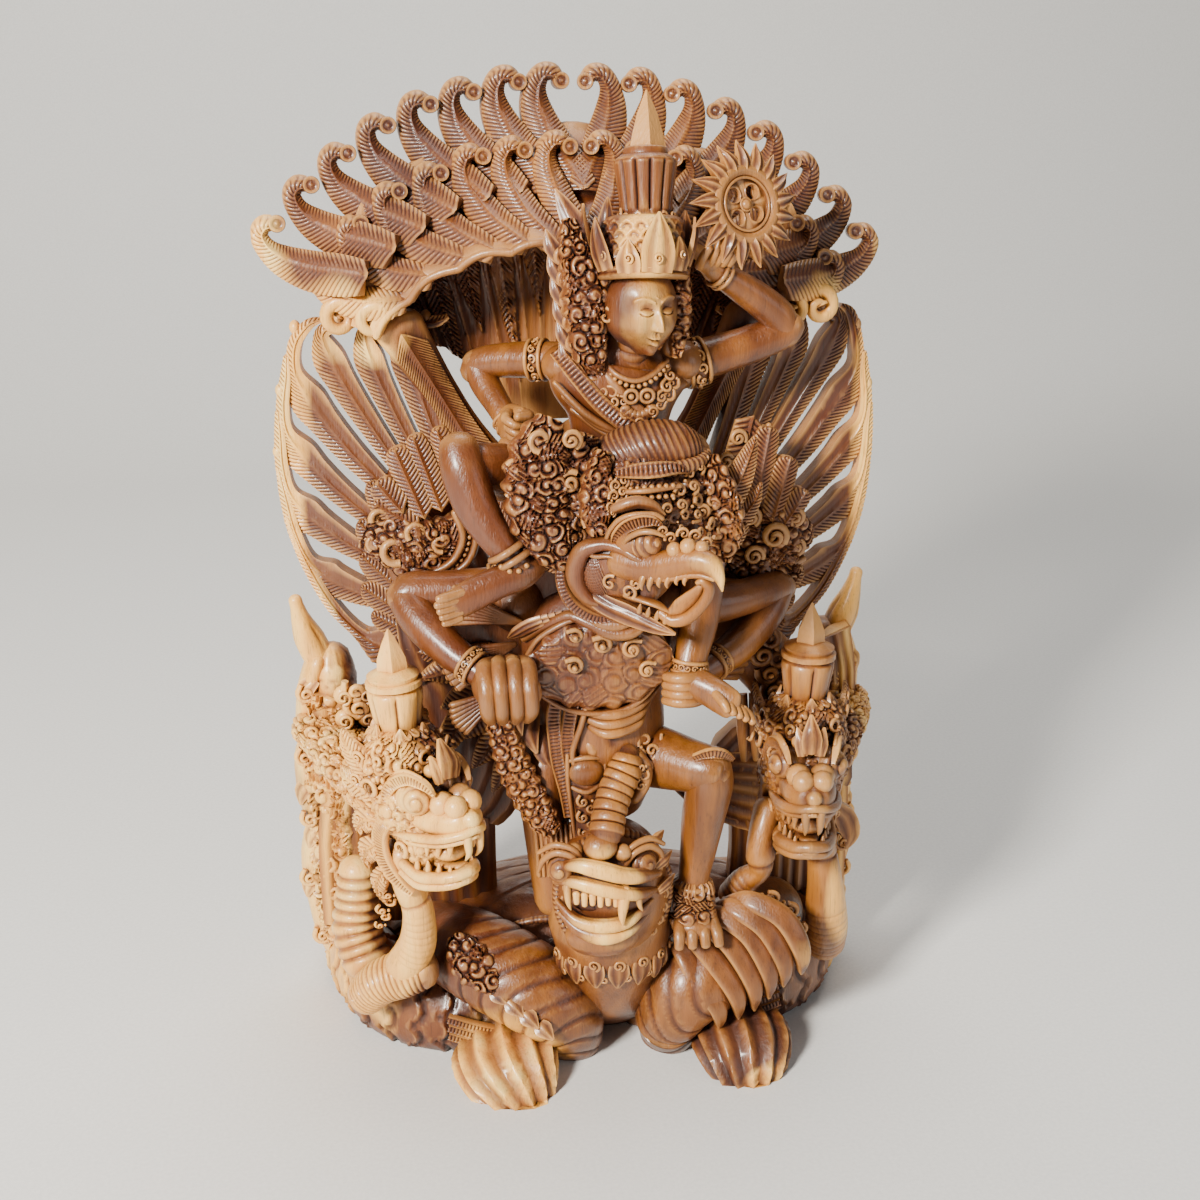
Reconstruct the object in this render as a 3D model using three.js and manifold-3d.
// Vishnu on Garuda wood carving, one block of wood with its plinth.
// Millimetres, +Z up, the carving faces -Y. The forms are laid out about the log's axis;
// the whole is moved at the end so that the origin lies on the floor under its middle.
import * as THREE from 'three';
import { mergeVertices } from 'three/addons/utils/BufferGeometryUtils.js';
import Module from 'manifold-3d';

// Driving sizes
const FAN_CENTRE_X = -3;       // the tail fan is laid out round this point
const FAN_CENTRE_Z = 400;
const OUTER_TIER = 16;         // curled feathers behind
const OUTER_RADIUS = 187;
const OUTER_STEP = 8.05;       // degrees between two feathers
const INNER_TIER = 14;         // curled feathers in front
const INNER_RADIUS = 151;
const INNER_STEP = 9.4;
const FAN_MIDDLE = 88.7;       // degrees, where the two halves of the fan meet
const LIP_RADIUS = 102;        // scalloped lip of the canopy
const CANOPY_ENDS = [21, 157]; // degrees
const WING_CENTRE = [61, 243]; // the wing feathers fan out round this point
const WING_SLOTS = [           // degrees above level, start and end as shares of the reach
  [21.5, 0.48, 0.8], [35.2, 0.48, 0.88], [45.3, 0.53, 0.93], [53.3, 0.64, 0.95],
  [60.8, 0.72, 0.94], [67, 0.76, 0.94],
];
const WING_ASKEW = 0.8;        // the carver's left wing is set higher, the right one lower
const WING_TOP = 213;
const WING_THICK = 10;
const DISC_RAYS = 15;
const DISC_RADIUS = 20;
const BASE_HALF_WIDTH = 176;
const FLOOR_CUT = 80;
const MIDDLE = [-2.5, -48.5];  // middle of the whole, seen from above

const RAD = Math.PI / 180;
const wasm = await Module();
wasm.setup();

// Vector helpers on plain [x, y, z] lists
const add = (a, b) => [a[0] + b[0], a[1] + b[1], a[2] + b[2]];
const mul = (a, k) => [a[0] * k, a[1] * k, a[2] * k];
const sub = (a, b) => [a[0] - b[0], a[1] - b[1], a[2] - b[2]];
const dot = (a, b) => a[0] * b[0] + a[1] * b[1] + a[2] * b[2];
const cross = (a, b) => [
  a[1] * b[2] - a[2] * b[1],
  a[2] * b[0] - a[0] * b[2],
  a[0] * b[1] - a[1] * b[0],
];
const unit = (a) => mul(a, 1 / (Math.hypot(...a) || 1));
const mix = (a, b, t) => a.map((v, i) => v + (b[i] - v) * t);
const FRONT = [0, -1, 0];

// A closed solid from rings of points; a ring of one point is a pole.
function solid(rings) {
  const points = rings.flat();
  const start = [];
  rings.reduce((sum, ring) => (start.push(sum), sum + ring.length), 0);
  const tris = [];
  for (let r = 0; r + 1 < rings.length; r += 1) {
    const [a, b] = [rings[r].length, rings[r + 1].length];
    const n = Math.max(a, b);
    for (let i = 0; i < n; i += 1) {
      const j = (i + 1) % n;
      const low = [start[r] + (a > 1 ? i : 0), start[r] + (a > 1 ? j : 0)];
      const high = [start[r + 1] + (b > 1 ? i : 0), start[r + 1] + (b > 1 ? j : 0)];
      if (a > 1) tris.push([low[0], low[1], high[1]]);
      if (b > 1) tris.push([low[0], high[1], high[0]]);
    }
  }
  const cap = (r, turn) => {
    const n = rings[r].length;
    for (let i = 1; i + 1 < n; i += 1) {
      const t = [start[r], start[r] + i, start[r] + i + 1];
      tris.push(turn ? t.reverse() : t);
    }
  };
  cap(0, true);
  cap(rings.length - 1, false);
  return closed(points, tris);
}

// Points and triangles into a manifold, facing outward.
function closed(points, tris) {
  let volume = 0;
  for (const [a, b, c] of tris) volume += dot(points[a], cross(points[b], points[c]));
  const faces = volume < 0 ? tris.map(([a, b, c]) => [a, c, b]) : tris;
  const mesh = new wasm.Mesh({
    numProp: 3,
    vertProperties: new Float32Array(points.flat()),
    triVerts: new Uint32Array(faces.flat()),
  });
  return new wasm.Manifold(mesh);
}

// Smooth curve through rows of numbers, at t from 0 to 1.
function curve(rows, t) {
  const f = Math.min(Math.max(t, 0), 1) * (rows.length - 1);
  const i = Math.min(Math.floor(f), rows.length - 2);
  const u = f - i;
  const row = (k) => rows[Math.min(Math.max(k, 0), rows.length - 1)];
  const [p, q, r, s] = [row(i - 1), row(i), row(i + 1), row(i + 2)];
  return q.map((v, k) => 0.5 * (2 * v + (r[k] - p[k]) * u
    + (2 * p[k] - 5 * v + 4 * r[k] - s[k]) * u * u
    + (3 * v - p[k] - 3 * r[k] + s[k]) * u * u * u));
}

// A limb along rows of [x, y, z, half width, half depth]; round is the number of sides.
function limb(given, { round, steps, face = FRONT }) {
  const rows = given.map(([x, y, z, a, b = a]) => [x, y, z, a, b]);
  const rings = [];
  for (let k = 0; k <= steps; k += 1) {
    const t = k / steps;
    const [x, y, z, a, b] = curve(rows, t);
    const ahead = curve(rows, Math.min(t + 0.02, 1));
    const behind = curve(rows, Math.max(t - 0.02, 0));
    const along = unit(sub(ahead.slice(0, 3), behind.slice(0, 3)));
    const side = unit(cross(along, face));
    const out = cross(side, along);
    const ring = [];
    for (let i = 0; i < round; i += 1) {
      const angle = ((i + 0.5) / round) * 2 * Math.PI;
      const edge = add(mul(side, a * Math.cos(angle)), mul(out, b * Math.sin(angle)));
      ring.push(add([x, y, z], edge));
    }
    rings.push(ring);
  }
  return solid(rings);
}

// An egg: centre, half sizes, sides round and rows from pole to pole.
function egg(centre, half, { round = 10, rows = 6 } = {}) {
  const rings = [[add(centre, [0, 0, -half[2]])]];
  for (let k = 1; k < rows; k += 1) {
    const lat = (k / rows - 0.5) * Math.PI;
    const r = Math.cos(lat);
    const ring = [];
    for (let i = 0; i < round; i += 1) {
      const lon = ((i + 0.5) / round) * 2 * Math.PI;
      ring.push(add(centre, [
        half[0] * r * Math.cos(lon), half[1] * r * Math.sin(lon), half[2] * Math.sin(lat)]));
    }
    rings.push(ring);
  }
  rings.push([add(centre, [0, 0, half[2]])]);
  return solid(rings);
}

// A turned form on a leaning axis: profile rows of [radius, height above foot].
function turned(foot, lean, profile, round = 10) {
  const rings = profile.map(([r, h]) => {
    const c = add(foot, [lean[0] * h, lean[1] * h, h]);
    if (r === 0) return [c];
    const ring = [];
    for (let i = 0; i < round; i += 1) {
      const a = ((i + 0.5) / round) * 2 * Math.PI;
      ring.push(add(c, [r * Math.cos(a), r * Math.sin(a), 0]));
    }
    return ring;
  });
  return solid(rings);
}

// A flat leaf: outline of [x, z] pairs, front and back given as functions of x and z,
// with slots cut through it; place moves its finished points.
function leaf(outline, front, back, slots = [], place = (p) => p) {
  const loops = [outline, ...slots].map((loop, k) => {
    const flat = loop.map(([x, z]) => new THREE.Vector2(x, z));
    return THREE.ShapeUtils.isClockWise(flat) === (k > 0) ? flat : flat.reverse();
  });
  const flat = loops.flat();
  const n = flat.length;
  const caps = THREE.ShapeUtils.triangulateShape(loops[0], loops.slice(1));
  const points = [front, back].flatMap((y) => flat.map((v) => place([v.x, y(v.x, v.y), v.y])));
  const tris = caps.flatMap(([a, b, c]) => [[a, b, c], [a + n, c + n, b + n]]);
  let start = 0;
  for (const loop of loops) {
    for (let i = 0; i < loop.length; i += 1) {
      const [a, b] = [start + i, start + ((i + 1) % loop.length)];
      tris.push([b, a, a + n], [b, a + n, b + n]);
    }
    start += loop.length;
  }
  return closed(points, tris);
}

// A pointed leaf standing from a foot to a tip, facing the front.
function blade(foot, tip, half, thick) {
  const middle = mix(foot, tip, 0.45);
  return limb([
    [...foot, half * 0.7, thick],
    [...middle, half, thick],
    [...mix(foot, tip, 0.8), half * 0.45, thick * 0.8],
    [...tip, 0.8, 0.8],
  ], { round: 4, steps: 3 });
}

const at = (angle, radius, y) => [
  FAN_CENTRE_X + radius * Math.cos(angle * RAD), y,
  FAN_CENTRE_Z + radius * Math.sin(angle * RAD),
];
const spread = (angle, gain) => gain * Math.cos(angle * RAD) ** 2;

// The free end of a tail feather, curled over to a small scroll.
// Rows: out along the fan, towards the middle, half width, share of the lean back.
const CURL = [
  [-50, 1, 9.5, 0.2], [-30, -8, 10, 0.6], [-10, -10, 8.5, 0.9], [3, -4, 6.5, 1],
  [-5, 6, 7, 1],
];
function curledFeather(angle, radius, length, yRoot, yTip, thick) {
  const towards = angle > FAN_MIDDLE ? 1 : -1;
  const out = [Math.cos(angle * RAD), 0, Math.sin(angle * RAD)];
  const middle = [out[2] * towards, 0, -out[0] * towards];
  const tip = at(angle, radius, 0);
  const rows = CURL.map(([r, t, half, lean]) => {
    const p = add(tip, add(mul(out, r * length), mul(middle, t)));
    return [p[0], yRoot + (yTip - yRoot) * lean, p[2], half, thick];
  });
  return limb(rows, { round: 4, steps: 4 });
}

const yOuter = (angle) => 44 - spread(angle, 50);
const yInner = (angle) => 8 - spread(angle, 18);
const yLip = (angle) => -44 + spread(angle, 30);

function crest() {
  const parts = [];
  for (let k = 0; k < OUTER_TIER; k += 1) {
    const angle = FAN_MIDDLE + (k - (OUTER_TIER - 1) / 2) * OUTER_STEP;
    const radius = OUTER_RADIUS + spread(angle, angle > 90 ? 28 : 18);
    parts.push(curledFeather(angle, radius, 1, yOuter(angle) - 22, yOuter(angle), 8));
  }
  for (let k = 0; k < INNER_TIER; k += 1) {
    const angle = FAN_MIDDLE + (k - (INNER_TIER - 1) / 2) * INNER_STEP;
    const radius = INNER_RADIUS + spread(angle, 28);
    parts.push(curledFeather(angle, radius, 0.72, yLip(angle) + 8, yInner(angle), 8));
  }
  return parts;
}

// The roof over Vishnu: a bent section carried round the fan, and the wall behind.
function canopy() {
  const parts = [];
  const steps = 16;
  const rings = [];
  for (let k = 0; k <= steps; k += 1) {
    const angle = CANOPY_ENDS[0] + (CANOPY_ENDS[1] - CANOPY_ENDS[0]) * (k / steps);
    const scallop = 2.5 * (k % 2);
    const lip = LIP_RADIUS + spread(angle, 28) - scallop;
    const [front, rear] = [yLip(angle), yOuter(angle) - 16];
    rings.push([
      at(angle, lip, front), at(angle, lip + 10, front - 2), at(angle, lip + 52, rear),
      at(angle, lip + 46, rear + 14), at(angle, lip + 6, rear + 14), at(angle, lip + 14, rear - 14),
    ]);
  }
  parts.push(solid(rings));
  const wall = [];
  for (let a = 14; a <= 164; a += 15) {
    wall.push([FAN_CENTRE_X + (LIP_RADIUS + 26) * Math.cos(a * RAD),
      FAN_CENTRE_Z + (LIP_RADIUS + 16) * Math.sin(a * RAD)]);
  }
  wall.push([-78, 427], [-67, 422], [-56, 384], [-6, 380], [56, 380], [64, 420], [100, 440]);
  parts.push(leaf(wall, (x) => 30 - (x / 30) ** 2, (x) => 41 - (x / 30) ** 2));
  // bands from the ends of the roof down to the back
  parts.push(limb([
    [-106, -8, 446, 14, 8], [-84, 4, 410, 11, 7], [-66, 0, 378, 12, 9], [-36, -16, 336, 20, 20],
  ], { round: 4, steps: 3 }));
  parts.push(limb([
    [98, -8, 446, 14, 8], [82, 4, 404, 11, 7], [66, 0, 374, 12, 9], [38, -16, 336, 20, 20],
  ], { round: 4, steps: 3 }));
  return parts;
}

// Wing: feathers fanned from the shoulder to a rim whose radius grows with the angle.
const rimRadius = (angle) => Math.min(57 + 2.02 * angle + 0.0135 * angle * angle,
  WING_TOP / Math.max(Math.sin(angle * RAD), 0.1));
const wingPoint = (s, angle, radius) => [
  s * (WING_CENTRE[0] + radius * Math.cos(angle * RAD)),
  WING_CENTRE[1] + radius * Math.sin(angle * RAD),
];
const wingFront = (x, z) => {
  const reach = Math.hypot(Math.abs(x) - WING_CENTRE[0], z - WING_CENTRE[1]);
  return -31 + 34 * Math.min(reach / 170, 1);
};
function wing(s) {
  const outline = [];
  for (const angle of [-10, 2, 12, 21, 30, 38, 46, 53, 60, 66, 72, 79]) {
    outline.push(wingPoint(s, angle, rimRadius(angle)));
  }
  outline.push([s * 103, 446], [s * (s < 0 ? 92 : 110), 412], [s * 84, 372], [s * 66, 348],
    [s * 20, 320], [s * 20, 236]);
  const slots = WING_SLOTS.map(([middle, start, end], k) => {
    const reach = rimRadius(middle);
    const half = 5 - 0.4 * k;
    return [[0, 0], [0.3, -1], [0.75, -1], [1, 0], [0.75, 1], [0.3, 1]].map(([t, side]) => {
      const r = start + (end - start) * t;
      const bow = 37 * (0.85 - r) ** 2 - WING_ASKEW * s;
      const turnBy = (side * half) / (reach * r) / RAD;
      return wingPoint(s, middle + bow + turnBy, reach * r);
    });
  });
  return [
    leaf(outline, wingFront, (x, z) => wingFront(x, z) + WING_THICK, slots),
    limb([
      [s * 40, -30, 250, 14, 14], [s * 66, -27, 268, 30, 13], [s * 92, -22, 302, 30, 12],
      [s * 104, -14, 344, 22, 10],
    ], { round: 6, steps: 3 }),
    limb([[s * 142, 2, 456, 10, 10], [s * 126, -8, 464, 12, 11], [s * 104, -14, 446, 8, 8]],
      { round: 6, steps: 3 }),
  ];
}

function vishnu() {
  const lean = [0.02, 0.25];
  const parts = [
    egg([23, -80, 472], [21, 21, 24], { round: 8 }),
    limb([[21, -68, 455, 11], [19, -64, 436, 13]], { round: 6, steps: 1 }),
    turned([24, -77, 488], lean, [[24, 0], [23, 34]], 8),
    turned([27, -70, 518], lean, [[18, 0], [11, 12], [15.5, 33], [10.5, 40]], 8),
    turned([29, -59, 554], lean, [[7, 0], [8.5, 12], [0, 36]], 6),
    blade([30, -100, 492], [33, -88, 526], 12, 4),
    blade([5, -82, 492], [3, -74, 530], 9, 5),
    limb([[-6, -66, 446, 12, 8], [-6, -62, 490, 15, 9], [-16, -58, 530, 3, 3]],
      { round: 6, steps: 3 }),
    limb([[40, -74, 448, 6, 6], [42, -70, 480, 8, 6], [45, -74, 522, 3, 3]],
      { round: 6, steps: 3 }),
    limb([
      [12, -62, 376, 30, 20], [14, -62, 402, 31, 21], [14, -60, 432, 43, 20],
      [17, -60, 450, 17, 14],
    ], { round: 8, steps: 4 }),
    limb([
      [-14, -52, 437, 11, 11], [-40, -34, 434, 10.5], [-61, -22, 430, 9.5], [-54, -38, 412, 8.5],
      [-46, -56, 398, 9],
    ], { round: 6, steps: 6 }),
    egg([-45, -58, 396], [14, 13, 11], { round: 6, rows: 4 }),
    limb([
      [48, -54, 432, 14], [82, -48, 439, 11], [114, -46, 449, 10], [102, -50, 464, 10],
      [70, -62, 486, 8.5], [70, -70, 510, 9],
    ], { round: 6, steps: 7 }),
    limb([
      [-6, -58, 382, 18, 16], [-48, -74, 394, 17], [-84, -86, 394, 15],
      [-76, -98, 376, 14.5], [-62, -108, 354, 10.5], [-50, -112, 332, 9],
    ], { round: 6, steps: 7 }),
    limb([[-40, -111, 335, 9], [-62, -116, 330, 10, 8], [-93, -126, 318, 8, 5]],
      { round: 6, steps: 3 }),
    egg([26, -92, 404], [32, 28, 16], { round: 8, rows: 5 }),
    limb([
      [46, -92, 396, 15, 14], [58, -88, 350, 14], [56, -96, 296, 12], [45, -112, 262, 10],
    ], { round: 6, steps: 4 }),
    limb([[40, -112, 262, 10, 9], [56, -124, 258, 11, 9], [70, -136, 254, 11, 7]],
      { round: 6, steps: 2 }),
  ];
  return [...parts, ...disc([81, -70, 525])];
}

// The flaming disc: pointed rays round a plate with four holes.
function disc(c) {
  const tilt = new THREE.Euler(-16 * RAD, 0, 22 * RAD, 'ZXY');
  const place = ([x, y, z]) => {
    const v = new THREE.Vector3(x, y, z).applyEuler(tilt);
    return add(c, [v.x, v.y, v.z]);
  };
  const star = [];
  for (let k = 0; k < 2 * DISC_RAYS; k += 1) {
    const a = (k / DISC_RAYS) * Math.PI;
    const r = k % 2 ? DISC_RADIUS + 1 : 33;
    star.push([r * Math.cos(a), r * Math.sin(a)]);
  }
  const holes = [0, 1, 2, 3].map((k) => {
    const a = (k * 90 + 40) * RAD;
    const middle = [8.6 * Math.cos(a), 8.6 * Math.sin(a)];
    return [0, 1, 2, 3, 4].map((i) => [
      middle[0] + 4.8 * Math.cos(i * 72 * RAD), middle[1] + 4.8 * Math.sin(i * 72 * RAD)]);
  });
  const dome = (x, z) => (Math.hypot(x, z) > DISC_RADIUS + 5 ? -1 : -6);
  return [leaf(star, dome, (x, z) => -dome(x, z), holes, place)];
}

function garuda() {
  const parts = [
    // trunk and back
    limb([
      [0, -66, 178, 33, 26], [0, -70, 240, 40, 36], [0, -64, 290, 50, 36],
      [4, -52, 350, 52, 36], [10, -44, 394, 34, 24],
    ], { round: 6, steps: 4 }),
    egg([3, -94, 214], [32, 24, 22], { round: 8, rows: 4 }),
    egg([-3, -94, 276], [42, 23, 43], { round: 10, rows: 5 }),
    // head, crown and beak
    egg([13, -104, 338], [36, 33, 32], { round: 8, rows: 5 }),
    egg([-10, -117, 325], [17, 14, 19], { round: 6, rows: 4 }),
    limb([
      [6, -124, 342, 13, 13], [28, -143, 345, 12, 11], [46, -157, 346, 9, 8],
      [56, -166, 335, 2, 2],
    ], { round: 6, steps: 4 }),
    limb([[-4, -118, 314, 10, 10], [18, -136, 308, 9, 8], [40, -149, 303, 2, 2]],
      { round: 6, steps: 2 }),
    limb([[26, -134, 308, 7, 6], [44, -150, 318, 6, 5], [48, -157, 338, 2, 2]],
      { round: 4, steps: 3 }),
    egg([20, -134, 355], [12, 10, 11], { round: 6, rows: 4 }),
    egg([44, -122, 356], [10, 10, 10], { round: 6, rows: 4 }),
    egg([18, -106, 376], [46, 28, 26], { round: 10, rows: 4 }),
    blade([18, -128, 372], [16, -112, 404], 18, 8),
    blade([-20, -98, 360], [-38, -84, 398], 14, 9),
    blade([60, -92, 360], [78, -80, 388], 13, 9),
    blade([-26, -98, 354], [-56, -92, 358], 12, 9),
    // arms
    limb([
      [-36, -70, 302, 18], [-78, -64, 304, 14], [-113, -64, 305, 12], [-98, -84, 287, 12],
      [-62, -112, 267, 11],
    ], { round: 6, steps: 6 }),
    egg([-58, -116, 264], [20, 19, 19], { round: 8, rows: 4 }),
    limb([
      [38, -72, 300, 16], [76, -68, 294, 12], [116, -48, 291, 11], [96, -60, 271, 12],
      [58, -92, 258, 11],
    ], { round: 6, steps: 6 }),
    // cloth fans at the elbows and wrists
    blade([-26, -80, 271], [-108, -78, 264], 14, 8),
    blade([46, -78, 258], [100, -62, 248], 17, 6),
    blade([-34, -90, 306], [-88, -96, 318], 13, 8),
    // skirt panels behind, joined to the tail posts
    leaf([[-166, 235], [-100, 235], [-50, 244], [-28, 196], [-46, 146], [-66, 140], [-64, 122], [-50, 90],
      [-50, 60], [-166, 60]], (x) => -26 + (x / 50) ** 2, (x) => -10 + (x / 50) ** 2),
    leaf([[170, 232], [150, 234], [132, 250], [92, 262], [106, 212], [112, 168], [60, 165],
      [60, 143], [82, 123], [112, 103], [120, 90], [170, 60]],
    (x) => -30 + (x / 40) ** 2, (x) => -14 + (x / 40) ** 2),
    limb([[90, -44, 262, 20, 14], [120, -34, 228, 22, 16]], { round: 6, steps: 1 }),
    limb([[16, -60, 256, 34, 24], [68, -62, 216, 14, 14]], { round: 6, steps: 1 }),
    // left leg
    limb([
      [18, -74, 200, 23], [43, -100, 202, 20], [58, -116, 198, 16], [55, -113, 162, 14],
      [52, -108, 130, 12], [51, -108, 96, 13],
    ], { round: 6, steps: 7 }),
    // right leg under its sash
    limb([
      [-20, -72, 208, 18], [-36, -88, 188, 16, 19], [-29, -92, 148, 13, 16],
      [-21, -90, 96, 14, 16],
    ], { round: 6, steps: 4 }),
    // loincloth
    limb([[-7, -104, 200, 12, 9], [-6, -108, 136, 13, 9]], { round: 6, steps: 1 }),
  ];
  for (let k = 0; k < 4; k += 1) {
    const a = (k - 1.5) * 0.5;
    parts.push(limb([
      [-58 + 17 * Math.sin(a), -126, 278, 5, 6], [-58 + 20 * Math.sin(a), -137, 264, 5.5, 6],
      [-57 + 13 * Math.sin(a), -131, 248, 4, 5],
    ], { round: 4, steps: 2 }));
  }
  return parts;
}

// Naga head with its crown: c the middle of the head, face the way the snout points.
function naga(c, s, face, lean) {
  const f = unit([face[0], face[1], 0]);
  const p = (forward, up, side = 0) => add(c, [
    f[0] * forward - f[1] * side, f[1] * forward + f[0] * side, up]);
  const level = [0, 0, 1];
  return [
    egg(c, [26, 26, 26], { round: 8, rows: 4 }),
    limb([[...p(4, 8), 14, 18], [...p(26, 9), 11, 14], [...p(43, 9), 8, 10]],
      { face: level, round: 6, steps: 3 }),
    limb([[...p(4, -14), 10, 17], [...p(24, -22), 6, 13], [...p(38, -22), 4, 8]],
      { face: level, round: 6, steps: 2 }),
    egg(p(18, 18, 12), [10, 10, 10], { round: 6, rows: 3 }),
    egg(p(18, 18, -12), [10, 10, 10], { round: 6, rows: 3 }),
    turned(p(-6, 10), lean, [
      [22, 0], [22, 20], [12, 36], [15, 66], [8, 70], [0, 90]], 6),
    blade(p(-8, 14, 12), p(-18, 48, 28), 10, 7),
    blade(p(-8, 14, -12), p(-18, 48, -28), 10, 7),
    blade(p(-10, -4, s * 10), p(-22, 12, s * 27), 10, 7),
    blade(p(-6, -6, s * 10), p(-20, -34, s * 19), 10, 7),
  ];
}

function nagas() {
  const left = naga([-112, -104, 192], -1, [0.62, -0.78], [-0.06, 0.05]);
  const right = naga([128, -84, 186], 1, [-0.12, -0.99], [0.04, 0.05]);
  left.push(
    limb([
      [-118, -100, 172, 15], [-120, -109, 140, 12], [-108, -102, 98, 12], [-126, -85, 58, 13],
      [-140, -58, 22, 16],
    ], { round: 6, steps: 6 }),
    limb([[-118, -100, 190, 24, 24], [-164, -10, 200, 14, 26]], { round: 6, steps: 1 }),
  );
  right.push(
    limb([[136, -82, 166, 15], [144, -84, 112, 12], [154, -60, 58, 14], [156, -44, 16, 18]],
      { round: 6, steps: 3 }),
    limb([[112, -82, 170, 10], [107, -76, 110, 9], [98, -72, 66, 9]], { round: 6, steps: 2 }),
    limb([[134, -80, 188, 22, 22], [168, -10, 196, 12, 20]], { round: 6, steps: 1 }),
  );
  return [...left, ...right];
}

// Tail posts of the two serpents at the sides, each ending in a bulb.
function posts() {
  return [[-1, -164, 0], [1, 156, -4]].flatMap(([s, x, y]) => [
    limb([[x - 3 * s, y, 20, 13, 26], [x, y, 110, 18, 22], [x, y, 236, 17, 20]],
      { round: 6, steps: 2 }),
    limb([
      [x, y, 226, 14, 14], [x + 8 * s, y, 242, 9, 10], [x + 15 * s, y, 258, 10, 10],
      [x + 20 * s, y, 281, 3, 3],
    ], { round: 6, steps: 3 }),
    egg([x + 12 * s, y, 172], [13, 17, 32], { round: 6, rows: 4 }),
    egg([x + 14 * s, y, 92], [14, 17, 27], { round: 6, rows: 4 }),
  ]);
}

function turtle() {
  const parts = [
    egg([4, -8, 18], [150, 68, 67], { round: 10 }),
    egg([4, -112, 124], [35, 36, 48], { round: 8, rows: 5 }),
    limb([[4, -104, 112, 38, 30], [6, -92, 66, 32, 26], [8, -34, 20, 44, 34]],
      { round: 8, steps: 3 }),
    limb([[12, -114, 212, 8], [6, -134, 198, 10], [-4, -148, 166, 13]], { round: 6, steps: 3 }),
    limb([[0, -132, 162, 17, 11], [-2, -167, 150, 9, 6]], { round: 6, steps: 2 }),
    egg([2, -146, 114], [22, 18, 17], { round: 8, rows: 4 }),
  ];
  for (const [s, x, end] of [[-1, 0, [-20, -94]], [1, 18, [54, -86]]]) {
    parts.push(limb([
      [x + s * 100, -46, 58, 27, 26], [x + s * 74, -80, 54, 28, 24], [x + s * 46, -98, 38, 27, 20],
      [...end, -6, 20, 16],
    ], { round: 6, steps: 4, face: [0, -0.5, 1] }));
  }
  parts.push(...paw([-65, -120], -14), ...paw([82, -120], 22));
  return parts;
}

// A fluted paw: one rounded form, its section rippled by the flutes, down to the floor.
function paw([x, y], skew) {
  const rows = [[30, 31, 26], [10, 34, 32], [-12, 32, 28], [-31, 23, 13]];
  const rings = rows.map(([forward, half, top]) => {
    const ring = [];
    for (let k = 0; k <= 10; k += 1) {
      const a = (k / 10) * Math.PI;
      const ripple = k % 2 ? 1.06 : 0.94;
      const side = Math.cos(a);
      ring.push([x + half * ripple * side, y + forward + skew * side * 0.5,
        top * ripple * Math.sin(a) ** 0.6]);
    }
    ring.push([x - half, y + forward, -20], [x + half, y + forward, -20]);
    return ring;
  });
  return [solid(rings)];
}

// Serpent coils that make the plinth.
function coils() {
  const side = [
    [-146, 44, 22, 22, 27], [-151, 10, 24, 22, 30], [-142, -23, 18, 23, 30],
    [-120, -49, 15, 24, 28], [-93, -66, 12, 24, 26], [-20, -58, 10, 22, 26],
  ];
  const mirrored = side.map(([x, ...rest]) => [-x + 1, ...rest]);
  const back = [[-150, 36, 26, 24], [0, 50, 24, 24], [154, 36, 26, 24]];
  return [
    limb(side, { round: 8, steps: 5, face: [0, 0, 1] }),
    limb(mirrored, { round: 8, steps: 5, face: [0, 0, 1] }),
    limb(back, { round: 8, steps: 2, face: [0, 0, 1] }),
  ];
}

const pieces = [
  ...crest(), ...canopy(), ...wing(-1), ...wing(1), ...vishnu(), ...garuda(), ...nagas(),
  ...posts(), ...turtle(), ...coils(),
];
const ground = solid([-FLOOR_CUT, 0].map((z) => [[-1, -1], [1, -1], [1, 1], [-1, 1]]
  .map(([x, y]) => [x * 2 * BASE_HALF_WIDTH, y * 2 * BASE_HALF_WIDTH, z])));
const carving = wasm.Manifold.union(pieces).subtract(ground);

// Wood is solid throughout: shells that enclose a void between joined forms are left out.
function outerShells(geometry) {
  const index = Array.from(geometry.index.array);
  const corner = geometry.attributes.position;
  const parent = Array.from({ length: corner.count }, (_, i) => i);
  const root = (i) => {
    let k = i;
    while (parent[k] !== k) {
      parent[k] = parent[parent[k]];
      k = parent[k];
    }
    return k;
  };
  for (let t = 0; t < index.length; t += 3) {
    parent[root(index[t + 1])] = root(index[t]);
    parent[root(index[t + 2])] = root(index[t]);
  }
  const volume = new Map();
  const point = (i) => [corner.getX(i), corner.getY(i), corner.getZ(i)];
  for (let t = 0; t < index.length; t += 3) {
    const [a, b, c] = [0, 1, 2].map((k) => point(index[t + k]));
    const r = root(index[t]);
    volume.set(r, (volume.get(r) ?? 0) + dot(a, cross(b, c)));
  }
  geometry.setIndex(index.filter((_, k) => volume.get(root(index[k - (k % 3)])) > 0));
  return geometry;
}

function toMesh(manifold, name, colour) {
  const { vertProperties, triVerts } = manifold.getMesh();
  const shape = new THREE.BufferGeometry();
  shape.setAttribute('position', new THREE.BufferAttribute(new Float32Array(vertProperties), 3));
  shape.setIndex(new THREE.BufferAttribute(new Uint32Array(triVerts), 1));
  const merged = outerShells(mergeVertices(shape, 1e-3));
  merged.translate(-MIDDLE[0], -MIDDLE[1], 0);
  merged.computeVertexNormals();
  const material = new THREE.MeshStandardMaterial({ color: colour, roughness: 0.55 });
  const mesh = new THREE.Mesh(merged, material);
  mesh.name = name;
  return mesh;
}

const group = new THREE.Group();
group.add(toMesh(carving, 'vishnu_on_garuda_carving', 0xa9683a));
export default group;
